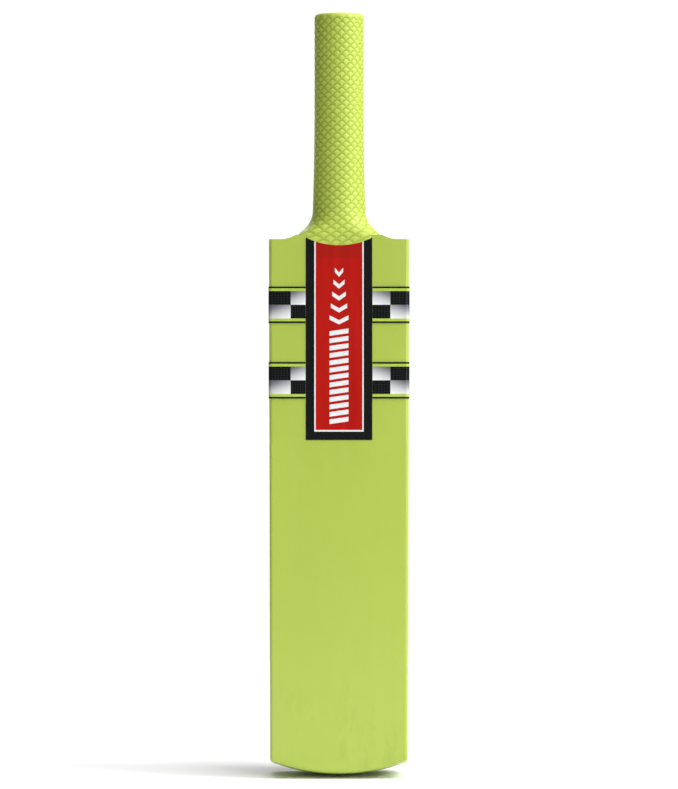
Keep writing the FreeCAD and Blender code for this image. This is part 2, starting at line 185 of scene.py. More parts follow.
def object_place(tree):
    """The piece's own coordinates as a vector, and then its X, Y and Z."""
    vector = add_node(tree, "ShaderNodeTexCoord").outputs["Object"]
    split = add_node(tree, "ShaderNodeSeparateXYZ", Vector=vector)
    return (vector, *split.outputs)


def stretched(tree, vector, scale):
    return add_node(tree, "ShaderNodeMapping", Vector=vector, Scale=scale).outputs[0]


def noise(tree, vector, scale, detail=3.0, roughness=0.5):
    return add_node(tree, "ShaderNodeTexNoise", Vector=vector, Scale=scale, Detail=detail,
                    Roughness=roughness).outputs["Fac"]


def ramp(tree, factor, stops):
    """A colour ramp; stops are (place, colour)."""
    made = add_node(tree, "ShaderNodeValToRGB", Fac=factor)
    band = made.color_ramp
    while len(band.elements) < len(stops):
        band.elements.new(0.5)
    for element, (place, colour) in zip(band.elements, stops):
        element.position = place
        element.color = (*colour, 1.0)
    return made.outputs["Color"]


def remap(tree, value, low, high, to_low=0.0, to_high=1.0):
    made = add_node(tree, "ShaderNodeMapRange", Value=value, From_Min=low, From_Max=high,
                    To_Min=to_low, To_Max=to_high)
    return made.outputs[0]


def blend_colours(tree, factor, first, second):
    """The first colour at factor 0, the second at factor 1."""
    made = add_node(tree, "ShaderNodeMix", {"data_type": "RGBA"})
    for place, value in ((0, factor), (6, first), (7, second)):
        if isinstance(value, bpy.types.NodeSocket):
            tree.links.new(value, made.inputs[place])
        else:
            made.inputs[place].default_value = (*value, 1.0) if place else value
    return made.outputs[2]


def bump(tree, shader, height, distance, strength=1.0):
    made = add_node(tree, "ShaderNodeBump", Height=height, Distance=distance, Strength=strength)
    tree.links.new(made.outputs[0], shader.inputs["Normal"])


def lime_paint():
    """Satin lime coat: faint clouds, run marks along the blade, scuffed and duller towards the toe."""
    material, tree, shader = new_material("lime_paint", Coat_Weight=0.25, Coat_Roughness=0.18)
    vector, _, _, height = object_place(tree)
    clouds = noise(tree, stretched(tree, vector, (9.0, 9.0, 4.0)), 1.0, 4.0)
    runs = noise(tree, stretched(tree, vector, (160.0, 160.0, 6.0)), 1.0, 5.0)
    toe = remap(tree, height, 0.0, 0.09, 1.0, 0.0)
    scuffs = noise(tree, stretched(tree, vector, (60.0, 60.0, 22.0)), 1.0, 6.0, 0.7)
    marks = maths(tree, "MULTIPLY", ramp(tree, scuffs, [(0.52, (0, 0, 0)), (0.72, (1, 1, 1))]), toe)
    colour = ramp(tree, clouds, [(0.3, (0.402, 0.520, 0.066)), (0.7, (0.460, 0.580, 0.083))])
    colour = blend_colours(tree, maths(tree, "MULTIPLY", runs, 0.22), colour, (0.36, 0.47, 0.05))
    colour = blend_colours(tree, maths(tree, "MULTIPLY", marks, 0.55), colour, SCUFFED_LIME)
    colour = blend_colours(tree, remap(tree, height, 0.0, 0.20, 0.18, 0.0), colour, SCUFFED_LIME)
    coloured(shader, colour)
    tree.links.new(remap(tree, runs, 0.3, 0.7, 0.34, 0.46), shader.inputs["Roughness"])
    bump(tree, shader, noise(tree, vector, 700.0, 2.0), 0.00012, 0.5)
    return material


def stripes(tree, place, pitch, line):
    """1 on parallel lines, 0 between them; line is the share of the pitch that they cover."""
    turn = maths(tree, "FRACT", maths(tree, "DIVIDE", place, pitch))
    return maths(tree, "LESS_THAN", turn, line)


def woven(tree, across, along, pitch, line):
    """1 on the thin lines of a square mesh, 0 between them."""
    return maths(tree, "MAXIMUM", stripes(tree, across, pitch, line), stripes(tree, along, pitch, line))


def ridge_half(tree, height):
    """Half width, in metres, of the mesh printed over the raised spine at this height."""
    low, high, widest = RIDGE_PRINT[0][0], RIDGE_PRINT[-1][0], RIDGE_PRINT[-1][1]
    made = add_node(tree, "ShaderNodeFloatCurve", Value=remap(tree, height, low * MM, high * MM))
    curve = made.mapping.curves[0]
    while len(curve.points) < len(RIDGE_PRINT):
        curve.points.new(0.5, 0.5)
    for point, (z, half) in zip(curve.points, RIDGE_PRINT):
        point.location = ((z - low) / (high - low), half / widest)
    made.mapping.update()
    return maths(tree, "MULTIPLY", made.outputs[0], widest * MM)


def film_black():
    """Gloss black film with handling marks; over the raised spine a fine mesh and a lime tint, both lighter
    on the -X flank as painted sheen, and a painted highlight along the spine's foot.
    """
    material, tree, shader = new_material("film_black", Specular_IOR_Level=0.17)
    vector, across, _, height = object_place(tree)
    near = maths(tree, "ABSOLUTE", across)
    marks = noise(tree, stretched(tree, vector, (30.0, 30.0, 14.0)), 1.0, 6.0, 0.65)
    plain = ramp(tree, marks, [(0.35, (0.0010, 0.0012, 0.0010)), (0.75, (0.0024, 0.0029, 0.0024))])
    tint = maths(tree, "MULTIPLY", remap(tree, near, 0.0018, 0.0055, 1.0, 0.0),
                 remap(tree, height, 0.222, 0.236, 1.0, 0.0))
    # painted sheen: the mesh lines are lighter on the -X flank, which faces the light, and darker on the +X
    # flank
    painted_sheen = remap(tree, across, -0.014, 0.003)
    lines = blend_colours(tree, painted_sheen, (0.098, 0.102, 0.090), (0.011, 0.013, 0.010))
    ridge = blend_colours(tree, woven(tree, across, height, MESH_PITCH * MM, 0.36),
                          (0.0016, 0.0019, 0.0016), lines)
    # the lime tint below the spine label's tip is lighter on the -X flank and deeper on the +X flank: painted
    # sheen
    lime_tint_with_painted_sheen = blend_colours(tree, remap(tree, across, -0.001, 0.001), (0.20, 0.25, 0.10), (0.09, 0.17, 0.025))
    lime_tint_with_painted_sheen = blend_colours(tree, stripes(tree, height, MESH_PITCH * MM, 0.45), lime_tint_with_painted_sheen, (0.012, 0.024, 0.006))
    ridge = blend_colours(tree, tint, ridge, lime_tint_with_painted_sheen)
    half = ridge_half(tree, height)
    # a thin grey line just outside the spine's foot: a painted highlight on the film's bend
    painted_foot_highlight = maths(tree, "LESS_THAN", near, maths(tree, "ADD", half, 0.0005))
    colour = blend_colours(tree, painted_foot_highlight, plain, PAINTED_HIGHLIGHT_GREY)
    colour = blend_colours(tree, maths(tree, "LESS_THAN", near, half), colour, ridge)
    coloured(shader, colour)
    tree.links.new(remap(tree, marks, 0.3, 0.8, 0.16, 0.30), shader.inputs["Roughness"])
    bump(tree, shader, noise(tree, stretched(tree, vector, (90.0, 90.0, 30.0)), 1.0), 0.00006, 0.5)
    return material


def carbon_print():
    """Black ink with a faint square mesh that fades out upwards, and a painted highlight along the back's
    crest.
    """
    material, tree, shader = new_material("carbon", Roughness=0.24, Specular_IOR_Level=0.09)
    _, across, _, height = object_place(tree)
    mesh = woven(tree, across, height, MESH_PITCH * MM, 0.36)
    shown = maths(tree, "MULTIPLY", mesh, remap(tree, height, 0.100, 0.158, 1.0, 0.0))
    colour = blend_colours(tree, shown, (0.0012, 0.0014, 0.0014), (0.0085, 0.0092, 0.0108))
    # a thin grey line on the back's crest: painted highlight
    painted_crest_highlight = maths(tree, "LESS_THAN", maths(tree, "ABSOLUTE", across), 0.0004)
    coloured(shader, blend_colours(tree, painted_crest_highlight, colour, PAINTED_HIGHLIGHT_GREY))
    bump(tree, shader, mesh, 0.00003, 0.4)
    return material


def lime_ink():
    """Bright lime print, lightest on the ring near the bands and deeper below it."""
    material, tree, shader = new_material("lime_ink", Roughness=0.24)
    vector, _, _, height = object_place(tree)
    base = ramp(tree, remap(tree, height, 0.06, 0.26),
                [(0.0, (0.36, 0.65, 0.040)), (0.63, (0.35, 0.63, 0.036)), (0.71, (0.62, 0.95, 0.13))])
    fleck = noise(tree, vector, 900.0, 2.0)
    coloured(shader, blend_colours(tree, maths(tree, "MULTIPLY", fleck, 0.10), base, (0.25, 0.5, 0.02)))
    return material


def fading_ink(name, low, high, stops):
    """Ink whose colour runs along the bat; stops are over the stretch from low to high (mm)."""
    material, tree, shader = new_material(name, Roughness=0.22)
    vector, _, _, height = object_place(tree)
    drift = maths(tree, "MULTIPLY", noise(tree, vector, 60.0), 0.0015)
    place = remap(tree, maths(tree, "ADD", height, drift), low * MM, high * MM)
    coloured(shader, ramp(tree, place, stops))
    return material


def flat_ink(name, colour, deeper, roughness=0.24):
    """One printed colour with the faint mottle of solvent ink."""
    material, tree, shader = new_material(name, Roughness=roughness, Specular_IOR_Level=0.3)
    mottle = noise(tree, object_place(tree)[0], 420.0)
    coloured(shader, ramp(tree, mottle, [(0.3, deeper), (0.7, colour)]))
    return material


def label_red(name, deeper, brighter):
    """Gloss red label film with soft upright wrinkles and a darker strip by the grip."""
    material, tree, shader = new_material(name, Roughness=0.34, Specular_IOR_Level=0.14)
    vector, _, _, height = object_place(tree)
    wrinkles = noise(tree, stretched(tree, vector, (120.0, 120.0, 5.0)), 1.0, 4.0)
    colour = ramp(tree, wrinkles, [(0.3, deeper), (0.7, brighter)])
    strip = maths(tree, "MULTIPLY", remap(tree, height, 0.3790, 0.3803),
                  remap(tree, height, 0.3887, 0.3900, 0.35, 0.0))
    colour = blend_colours(tree, strip, colour, (0.25, 0.012, 0.008))
    coloured(shader, colour)
    bump(tree, shader, wrinkles, 0.0004, 0.35)
    return material


def cell_place(tree):
    """Where a point lies in its square: 0 to 1 across and 0 to 1 up."""
    cell = add_node(tree, "ShaderNodeUVMap", {"uv_map": "cell"}).outputs[0]
    split = add_node(tree, "ShaderNodeSeparateXYZ", Vector=cell)
    return split.outputs[:2]


def cell_silver():
    """A silver square: grey in one upper corner, running down to white."""
    material, tree, shader = new_material("cell_silver", Roughness=0.22)
    across, up = cell_place(tree)
    slope = maths(tree, "MULTIPLY_ADD", across, 0.35, maths(tree, "MULTIPLY", up, 0.75))
    coloured(shader, ramp(tree, slope, [(0.05, (0.92, 0.92, 0.93)), (0.45, (0.62, 0.62, 0.64)),
                                        (0.80, (0.27, 0.27, 0.29)), (1.0, (0.13, 0.13, 0.15))]))
    return material


def cell_black():
    """A black square with its fine mesh."""
    material, tree, shader = new_material("cell_black", Roughness=0.24, Specular_IOR_Level=0.2)
    across, up = cell_place(tree)
    mesh = woven(tree, across, up, 1.0 / 6.0, 0.3)
    coloured(shader, blend_colours(tree, mesh, (0.0020, 0.0022, 0.0024), (0.0130, 0.0145, 0.0160)))
    return material


def grip_rubber():
    """Lime rubber with painted shade in the pits of the scales and a painted highlight on their crowns."""
    material, tree, shader = new_material("grip_rubber", Specular_IOR_Level=0.4)
    vector, _, _, _ = object_place(tree)
    depth = add_node(tree, "ShaderNodeAttribute", {"attribute_name": "relief"}).outputs["Fac"]
    # the scales' relief sets the colour: dark in the pits as painted shade, light on the crowns as painted
    # highlight
    colour = ramp(tree, depth, [(0.0, (0.24, 0.34, 0.022)), (0.45, (0.42, 0.54, 0.055)),
                                (1.0, (0.54, 0.66, 0.096))])
    dust = noise(tree, vector, 500.0, 4.0)
    colour = blend_colours(tree, maths(tree, "MULTIPLY", dust, 0.12), colour, (0.62, 0.72, 0.25))
    coloured(shader, colour)
    tree.links.new(remap(tree, dust, 0.3, 0.7, 0.42, 0.58), shader.inputs["Roughness"])
    bump(tree, shader, noise(tree, vector, 1500.0, 3.0), 0.0001, 0.35)
    return material


def cane_wood():
    """Rattan strip: pale straw with long dark fibres."""
    material, tree, shader = new_material("cane_wood", Roughness=0.55)
    vector, _, _, _ = object_place(tree)
    fibre = noise(tree, stretched(tree, vector, (1400.0, 1400.0, 14.0)), 1.0, 4.0, 0.6)
    pores = noise(tree, vector, 900.0, 2.0)
    colour = ramp(tree, fibre, [(0.3, (0.42, 0.25, 0.10)), (0.65, (0.72, 0.52, 0.28))])
    colour = blend_colours(tree, remap(tree, pores, 0.55, 0.7, 0.0, 0.5), colour, (0.22, 0.12, 0.05))
    coloured(shader, colour)
    bump(tree, shader, fibre, 0.0002, 0.5)
    return material


def thread(name, light, dark, pitch):
    """Wound thread or woven tape: ridges at an even pitch up the handle, light on the ridges and dark in the
    grooves between them as painted shade.
    """
    material, tree, shader = new_material(name, Roughness=0.75)
    vector, _, _, height = object_place(tree)
    wave = maths(tree, "SINE", maths(tree, "MULTIPLY", height, 2.0 * math.pi / pitch))
    fuzz = noise(tree, vector, 900.0)
    level = maths(tree, "ADD", remap(tree, wave, -1.0, 1.0, 0.0, 0.7), maths(tree, "MULTIPLY", fuzz, 0.3))
    # the colour follows the ridges' height: dark in the grooves as painted shade
    coloured(shader, ramp(tree, level, [(0.15, dark), (0.8, light)]))
    bump(tree, shader, level, 0.0004, 0.6)
    return material


def spring_rubber():
    material, tree, shader = new_material("spring_rubber", Roughness=0.7)
    grain = noise(tree, object_place(tree)[0], 600.0)
    coloured(shader, ramp(tree, grain, [(0.3, (0.012, 0.012, 0.012)), (0.7, (0.035, 0.034, 0.033))]))
    bump(tree, shader, grain, 0.0002, 0.4)
    return material


def pale_floor():
    material, tree, shader = new_material("pale_floor", Specular_IOR_Level=0.1)
    haze = noise(tree, object_place(tree)[0], 1.5)
    coloured(shader, ramp(tree, haze, [(0.3, (0.88, 0.88, 0.88)), (0.7, (0.90, 0.90, 0.90))]))
    tree.links.new(remap(tree, haze, 0.0, 1.0, 0.7, 0.8), shader.inputs["Roughness"])
    return material


# --- surfaces and outlines ---

def surface_of(*names):
    """One ray-casting tree over these CAD nodes."""
    points, faces = [], []
    for name in names:
        mesh = NODES[name].data
        start = len(points)
        points += [vertex.co.copy() for vertex in mesh.vertices]
        faces += [[start + index for index in face.vertices] for face in mesh.polygons]
    return BVHTree.FromPolygons(points, faces)


def drop(surface, x, z, facing, level):
    """The point of the surface at (x, z) mm seen from the facing side (-1 face, +1 back), level mm proud."""
    start = Vector((x * MM, facing * CLEAR * MM, z * MM))
    place, normal, _, _ = surface.ray_cast(start, Vector((0, -facing, 0)))
    if place is None:
        return None
    if normal.y * facing < 0:
        normal = -normal
    return place + normal * (level * MM)


def smooth_line(points, steps=8):
    """A Catmull-Rom curve through the points."""
    ends = [points[0]] + list(points) + [points[-1]]
    line = []
    for index in range(1, len(ends) - 2):
        before, start, end, after = (np.array(point, float) for point in ends[index - 1:index + 3])
        for step in range(steps):
            t = step / steps
            line.append(tuple(0.5 * (2 * start + (end - before) * t
                                     + (2 * before - 5 * start + 4 * end - after) * t ** 2
                                     + (3 * start - before - 3 * end + after) * t ** 3)))
    line.append(tuple(points[-1]))
    return line


def arc(centre, radius, start, end, steps=40):
    """Points of an arc; angles in degrees, 0 towards +X and 90 towards +Z."""
    turns = [math.radians(start + (end - start) * step / steps) for step in range(steps + 1)]
    return [(centre[0] + radius * math.cos(turn), centre[1] + radius * math.sin(turn)) for turn in turns]


def inside(outline, x, z):
    """True where (x, z) lies inside the closed outline."""
    found = False
    for (x0, z0), (x1, z1) in zip(outline, outline[1:] + outline[:1]):
        if (z0 > z) != (z1 > z) and x < x0 + (z - z0) * (x1 - x0) / (z1 - z0):
            found = not found
    return found


def half_plane(polygon, start, normal):
    """The part of a polygon on the side of a line that the normal points to."""
    kept = []
    for first, second in zip(polygon, polygon[1:] + polygon[:1]):
        level_a = (first[0] - start[0]) * normal[0] + (first[1] - start[1]) * normal[1]
        level_b = (second[0] - start[0]) * normal[0] + (second[1] - start[1]) * normal[1]
        if level_a >= 0:
            kept.append(first)
        if (level_a >= 0) != (level_b >= 0):
            t = level_a / (level_a - level_b)
            kept.append((first[0] + t * (second[0] - first[0]), first[1] + t * (second[1] - first[1])))
    return kept


def resampled(outline, spacing):
    """The closed outline with no edge longer than spacing."""
    points = []
    for (x0, z0), (x1, z1) in zip(outline, outline[1:] + outline[:1]):
        length = math.hypot(x1 - x0, z1 - z0)
        if length < 0.01:
            continue
        parts = max(1, math.ceil(length / spacing))
        points += [(x0 + (x1 - x0) * i / parts, z0 + (z1 - z0) * i / parts) for i in range(parts)]
    return points


def new_piece(name, points, faces, materials, replaced=()):
    """A mesh piece made from points (m) and faces."""
    mesh = bpy.data.meshes.new(name)
    mesh.from_pydata(points, [], faces)
    mesh.validate()
    return finish_piece(name, mesh, materials, replaced)


def finish_piece(name, mesh, materials, replaced=()):
    """Shades a mesh smooth between its sharp edges and hangs it on the bat's one body."""
    for material in materials:
        mesh.materials.append(material)
    mesh.polygons.foreach_set("use_smooth", [True] * len(mesh.polygons))
    mesh.set_sharp_from_angle(angle=math.radians(28.0))
    piece = bpy.data.objects.new(name, mesh)
    bpy.context.scene.collection.objects.link(piece)
    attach(piece, "root")
    if replaced:
        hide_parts(*replaced)
    return piece


def closed_layer(upper, lower, triangles):
    """Points and faces of a thin closed solid between two matching sheets."""
    count = len(upper)
    edges = {}
    for a, b, c in triangles:
        for pair in ((a, b), (b, c), (c, a)):
            edges[pair] = edges.get(pair, 0) + 1
    faces = [tuple(face) for face in triangles]
    faces += [(c + count, b + count, a + count) for a, b, c in triangles]
    faces += [(b, a, a + count, b + count) for a, b in edges if (b, a) not in edges]
    return upper + lower, faces


def print_layer(name, outline, surface, facing, material, lift=INK_LIFT, spacing=INK_SPACING):
    """A closed layer of ink over the outline (x, z in mm), laid on the surface and bent at its creases."""
    for sign in (1, -1):
        outline = half_plane(outline, (sign * PRINT_HALF_WIDTH, 0.0), (-sign, 0.0))
    border = resampled(outline, spacing)
    points = [Vector(point) for point in border]
    edges = [(i, (i + 1) % len(border)) for i in range(len(border))]
    (low_x, low_z), (high_x, high_z) = np.min(border, axis=0), np.max(border, axis=0)
    columns = np.arange(math.ceil(low_x / spacing) * spacing, high_x, spacing)
    rows = np.arange(math.ceil(low_z / spacing) * spacing, high_z, spacing)
    points += [Vector((x, z)) for x in columns for z in rows if inside(border, x, z)]
    for x in CREASES:
        if low_x < x < high_x:
            stops = [Vector((x, z)) for z in (low_z - 1.0, *rows, high_z + 1.0)]
            edges += [(len(points) + i, len(points) + i + 1) for i in range(len(stops) - 1)]
            points += stops
    flat, _, triangles, _, _, _ = delaunay_2d_cdt(points, edges, [], 0, 1e-4)
    kept = []
    for triangle in triangles:
        x = sum(flat[index][0] for index in triangle) / 3
        z = sum(flat[index][1] for index in triangle) / 3
        if inside(border, x, z):
            kept.append(list(triangle))
    used = sorted({index for triangle in kept for index in triangle})
    place = {old: new for new, old in enumerate(used)}
    upper = [drop(surface, *flat[index], facing, lift) for index in used]
    lower = [drop(surface, *flat[index], facing, -INK_SINK) for index in used]
    turned = [[place[index] for index in (triangle if facing < 0 else triangle[::-1])] for triangle in kept]
    points, faces = closed_layer(upper, lower, turned)
    return new_piece(name, points, faces, [material])


def print_dots(name, dots, surface, facing, material, lift):
    """One piece of many small dots; each dot is a convex outline (x, z in mm), counter-clockwise."""
    points, faces = [], []
    for ring in dots:
        sides = len(ring)
        upper = [drop(surface, *point, facing, lift) for point in ring]
        lower = [drop(surface, *point, facing, -INK_SINK) for point in ring]
        if None in upper or None in lower:
            continue
        start = len(points)
        points += upper + lower
        order = range(sides) if facing < 0 else range(sides - 1, -1, -1)
        faces.append([start + i for i in order])
        faces.append([start + sides + i for i in reversed(order)])
        for i, j in zip(order, [*order[1:], order[0]]):
            faces.append([start + j, start + i, start + sides + i, start + sides + j])
    return new_piece(name, points, faces, [material])


# --- bands and labels ---

def cut_copy(node, planes):
    """A bmesh copy of a CAD node, welded and cut by planes given as (point mm, normal)."""
    made = bmesh.new()
    made.from_mesh(NODES[node].data)
    bmesh.ops.remove_doubles(made, verts=made.verts, dist=1e-6)
    for point, normal in planes:
        everything = made.verts[:] + made.edges[:] + made.faces[:]
        bmesh.ops.bisect_plane(made, geom=everything, dist=1e-7, plane_co=Vector(point) * MM, plane_no=normal)
    return made


def finish_copy(name, made, materials, node):
    """Turns a cut copy into the piece that replaces its CAD node."""
    mesh = bpy.data.meshes.new(name)
    made.to_mesh(mesh)
    made.free()
    return finish_piece(name, mesh, materials, (node,))


def band_dip(x, y):
    """How far a band has dipped (mm) at a point of it."""
    return max(0.0, BLADE_HALF - abs(x)) * BAND_SLOPE if y - FACE_Y > BAND_SPLIT else 0.0


def band_cell(level, side, middle, x, y, z):
    """Material index, and the limits across and up, of the band cell that holds a point (mm)."""
    above = z + band_dip(x, y) - middle
    if abs(above) > GAP_TOP:
        return 2, (0, 1), (0, 1)
    if abs(above) > CHEQUER_HALF:
        return 3, (0, 1), (0, 1)
    face, back = FACE_COLUMNS[side], BACK_COLUMNS[level, side]
    depth = y - FACE_Y
    if depth < EDGE_COLUMNS[0]:
        limits, place, first = [FACE_START, *face, BEYOND], abs(x), 0
    elif abs(x) > BLADE_HALF - CORNER:
        limits, place, first = [*EDGE_COLUMNS, BEYOND], depth, len(face) + 1
    else:
        limits, place, first = [BEYOND, *back, BACK_END], abs(x), len(face) + len(EDGE_COLUMNS)
        place, limits = -place, [-limit for limit in limits]
    column = max(i for i, limit in enumerate(limits[:-1]) if place >= limit or i == 0)
    dark = (first + column + (above < 0)) % 2 == 1
    start = limits[column]
    end = limits[column + 1]
    if limits[-1] == BEYOND and column == len(limits) - 2:
        end = start + SQUARE_WIDTH
    across = (start, end) if place == abs(x) or place == depth else (-start, -end)
    up = (middle, middle + CHEQUER_HALF) if above > 0 else (middle - CHEQUER_HALF, middle)
    return (1 if dark else 0), across, up


def chequer_band(level, side, materials):
    """One chequered strip, cut out of its CAD solid along the borders of its squares."""
    node = f"band_{level}_{side}"
    middle = BAND_MIDDLE[level]
    sign = 1 if side == "right" else -1
    tilted = Vector((-sign * BAND_SLOPE, 0, 1)).normalized()
    planes = []
    for height in (-GAP_TOP, -CHEQUER_HALF, 0.0, CHEQUER_HALF, GAP_TOP):
        planes.append(((0, 0, middle + height), (0, 0, 1)))
        planes.append(((sign * BLADE_HALF, 0, middle + height), tilted))
    planes += [((sign * x, 0, 0), (1, 0, 0)) for x in FACE_COLUMNS[side] + BACK_COLUMNS[level, side]]
    planes += [((sign * (BLADE_HALF - CORNER), 0, 0), (1, 0, 0))]
    planes += [((0, FACE_Y + depth, 0), (0, 1, 0)) for depth in EDGE_COLUMNS]
    made = cut_copy(node, planes)
    uv = made.loops.layers.uv.new("cell")
    for face in made.faces:
        x, y, z = face.calc_center_median() / MM
        face.material_index, across, up = band_cell(level, side, middle, x, y, z)
        on_edge = abs(x) > BLADE_HALF - CORNER and y - FACE_Y >= EDGE_COLUMNS[0]
        for loop in face.loops:
            point = loop.vert.co / MM
            place = point.y - FACE_Y if on_edge else abs(point.x)
            up_band = point.z + band_dip(point.x, point.y)
            loop[uv].uv = ((place - across[0]) / (across[1] - across[0]), (up_band - up[0]) / (up[1] - up[0]))
    return finish_copy(f"chequer_{level}_{side}", made, materials, node)


def framed_label(border, keyline, panel):
    """The face label: black border, white keyline and red panel, cut out of its CAD solid."""
    planes = [((sign * x, 0, 0), (1, 0, 0)) for sign in (-1, 1) for x in (KEYLINE_OUTER, KEYLINE_INNER)]
    planes += [((0, 0, z), (0, 0, 1)) for z in (KEYLINE_BOTTOM, PANEL_BOTTOM)]
    made = cut_copy("face_label", planes)
    for face in made.faces:
        x, _, z = face.calc_center_median() / MM
        if face.normal.y > -0.5 or abs(x) > KEYLINE_OUTER or z < KEYLINE_BOTTOM:
            face.material_index = 0
        elif abs(x) > KEYLINE_INNER or z < PANEL_BOTTOM:
            face.material_index = 1
        else:
            face.material_index = 2
    return finish_copy("framed_label", made, (border, keyline, panel), "face_label")


def slanted_bar(low, height, half, rise):
    """A bar across the label that climbs towards +X."""
    return [(-half, low), (half, low + rise), (half, low + rise + height), (-half, low + height)]


def chevron(low, half, thickness, rise):
    """A V standing on its point, as six corners."""
    return [(0.0, low), (half, low + rise), (half, low + rise + thickness), (0.0, low + thickness),
            (-half, low + rise + thickness), (-half, low + rise)]


def generic_mark(side, surface, facing, low, high, half, material):
    """Slanted bars with chevrons above them: a plain decoration, not a word or a badge."""
    def mark(kind, index, outline):
        print_layer(f"mark_{side}_{kind}_{index + 1}", outline, surface, facing, material,
                    OVERPRINT_LIFT, MARK_SPACING)

    bars, chevrons, gap = 13, 5, 2.0
    bar_zone = (high - low) * 0.60
    bar = bar_zone / bars - gap
    for index in range(bars):
        mark("bar", index, slanted_bar(low + index * (bar + gap), bar, half, 2.0))
    start = low + bar_zone + 3.0
    step = (high - start) / chevrons
    for index in range(chevrons):
        width = half * (1.0 - 0.14 * index)
        mark("chevron", index, chevron(start + index * step, width, step * 0.36, half * 0.5))


# --- back print ---

# The artwork's discs, and the borders of its swooshes and blades, as (x, height).
RING_CENTRE = (49.6, 229.2)
RING_RADIUS = 29.3
RING_HOLE_CENTRE = (48.0, 230.6)
RING_HOLE_RADIUS = 21.6
SILVER_DISC = ((44.7, 256.5), 14.2)
DOTTED_DISC = ((41.6, 230.3), 10.8)
SWOOSH_LEFT = [(34.9, 207.0), (34.5, 176.7), (26.6, 132.0), (18.2, 109.3), (8.6, 86.6), (-0.9, 63.9),
               (-15.8, 41.2), (-30.3, 19.2)]
SWOOSH_RIGHT = [(33.0, 207.0), (26.0, 176.7), (11.9, 132.0), (1.8, 109.3), (-13.4, 86.6), (-30.3, 63.9),
                (-47.0, 41.2), (-60.0, 25.0)]
SILVER_LEFT = [(9.1, 179.6), (2.0, 156.9), (-3.3, 132.0), (-13.4, 109.3), (-25.7, 86.6), (-42.0, 63.0),
               (-58.0, 43.0)]
SILVER_RIGHT = [(9.0, 179.6), (0.6, 156.9), (-11.7, 132.0), (-24.7, 109.3), (-41.0, 86.6), (-58.0, 66.0)]
BLADE_A = ([(42.4, 75.2), (38.0, 45.0), (30.5, 7.8)], [(18.2, 7.8), (32.0, 45.0), (42.4, 75.2)])
BLADE_B = ([(26.1, 86.6), (17.0, 45.0), (-0.9, 5.7)], [(-14.0, 5.7), (9.0, 45.0), (26.1, 86.6)])
MESH_TOP = 162.0
MESH_EDGE = [(38.5, MESH_TOP), (32.8, 131.7), (21.5, 102.2), (10.5, 76.0), (-0.9, 51.8), (-17.5, 30.0),
             (-38.0, 8.5)]
RIDGE_LINE = [(-0.9, 51.8), (-1.5, 51.8), (-36.8, 9.9), (-36.0, 9.9)]

# Halftone of the lime swoosh: black dots on lime above SWOOSH_SOLID_END, lime dots on black below it.
DOT_PITCH = 1.42
DOT_COLUMNS = math.ceil(PRINT_HALF_WIDTH / DOT_PITCH)
DOT_ROUNDING = 0.58
DOT_GROWTH = 1.6
SWOOSH_END = 18.0
SWOOSH_SOLID_END = 61.5 * DOT_PITCH   # half way between two rows of dots
FULL_DOT = 0.5 * DOT_PITCH            # at this half size the dots meet as a chequer
DARK_DOTS_TOP = 124.0
SMALLEST_DARK_DOT = 0.34
LIGHT_DOTS_END = 20.0
SMALLEST_LIGHT_DOT = 0.20

# Rows of black dots on the dotted disc.
DISC_DOT = 0.66
DISC_ROW_PITCH = 2.15
DISC_DOT_PITCH = 1.45


def toe_line(x):
    """Lowest height that print reaches at x, just inside the toe's rounded rim."""
    return TOE_RADIUS - math.sqrt(TOE_RADIUS ** 2 - x ** 2) + TOE_MARGIN


def crescent():
    """The lime ring, open towards the blade's edge."""
    outer = arc(RING_CENTRE, RING_RADIUS, 131.0, 290.0, 60)
    hole = arc(RING_HOLE_CENTRE, RING_HOLE_RADIUS, 290.0, 131.0, 50)
    return outer + hole


def swoosh_outline(low):
    """The lime swoosh from its tip on the ring down to the height low."""
    return half_plane(smooth_line(SWOOSH_LEFT) + smooth_line(SWOOSH_RIGHT)[::-1], (0.0, low), (0.0, 1.0))


def halftone(outline, low, high, size_low, size_high, parity):
    """Dots of a diagonal screen over the outline, their half size running from low to high."""
    dots = []
    for row in range(math.ceil(low / DOT_PITCH), math.floor(high / DOT_PITCH) + 1):
        z = row * DOT_PITCH
        share = min(max((z - low) / (high - low), 0.0), 1.0)
        size = size_low + (size_high - size_low) * share ** DOT_GROWTH
        for column in range(-DOT_COLUMNS, DOT_COLUMNS + 1):
            x = (column + 0.5) * DOT_PITCH
            if (row + column) % 2 == parity and abs(x) + size < PRINT_HALF_WIDTH:
                dot = trimmed(square_dot(x, z, size), outline)
                if dot:
                    dots.append(dot)
    return dots


def square_dot(x, z, size):
    """A screen dot: nearly round when small, square at its full size."""
    cut = size * DOT_ROUNDING * (1.0 - (size / FULL_DOT) ** 2)
    near, far = size - cut, size
    corners = [(far, -near), (far, near), (near, far), (-near, far), (-far, near), (-far, -near),
               (-near, -far), (near, -far)]
    return [(x + across, z + up) for across, up in corners]


def trimmed(dot, outline):
    """The dot cut along the outline's borders that cross it; None where nothing is left."""
    centre = np.mean(dot, axis=0)
    reach = 2 * FULL_DOT
    crossed = False
    for (x0, z0), (x1, z1) in zip(outline, outline[1:] + outline[:1]):
        run, rise = x1 - x0, z1 - z0
        length = math.hypot(run, rise)
        if length < 0.01:
            continue
        along = ((centre[0] - x0) * run + (centre[1] - z0) * rise) / length
        off = ((centre[0] - x0) * rise - (centre[1] - z0) * run) / length
        if abs(off) > reach or not -0.01 <= along <= length:
            continue
        crossed = True
        keep = 1 if (off > 0) == inside(outline, *centre) else -1
        dot = half_plane(dot, (x0, z0), (rise / length * keep, -run / length * keep))
    if len(dot) < 3 or not (crossed or inside(outline, *centre)):
        return None
    return dot


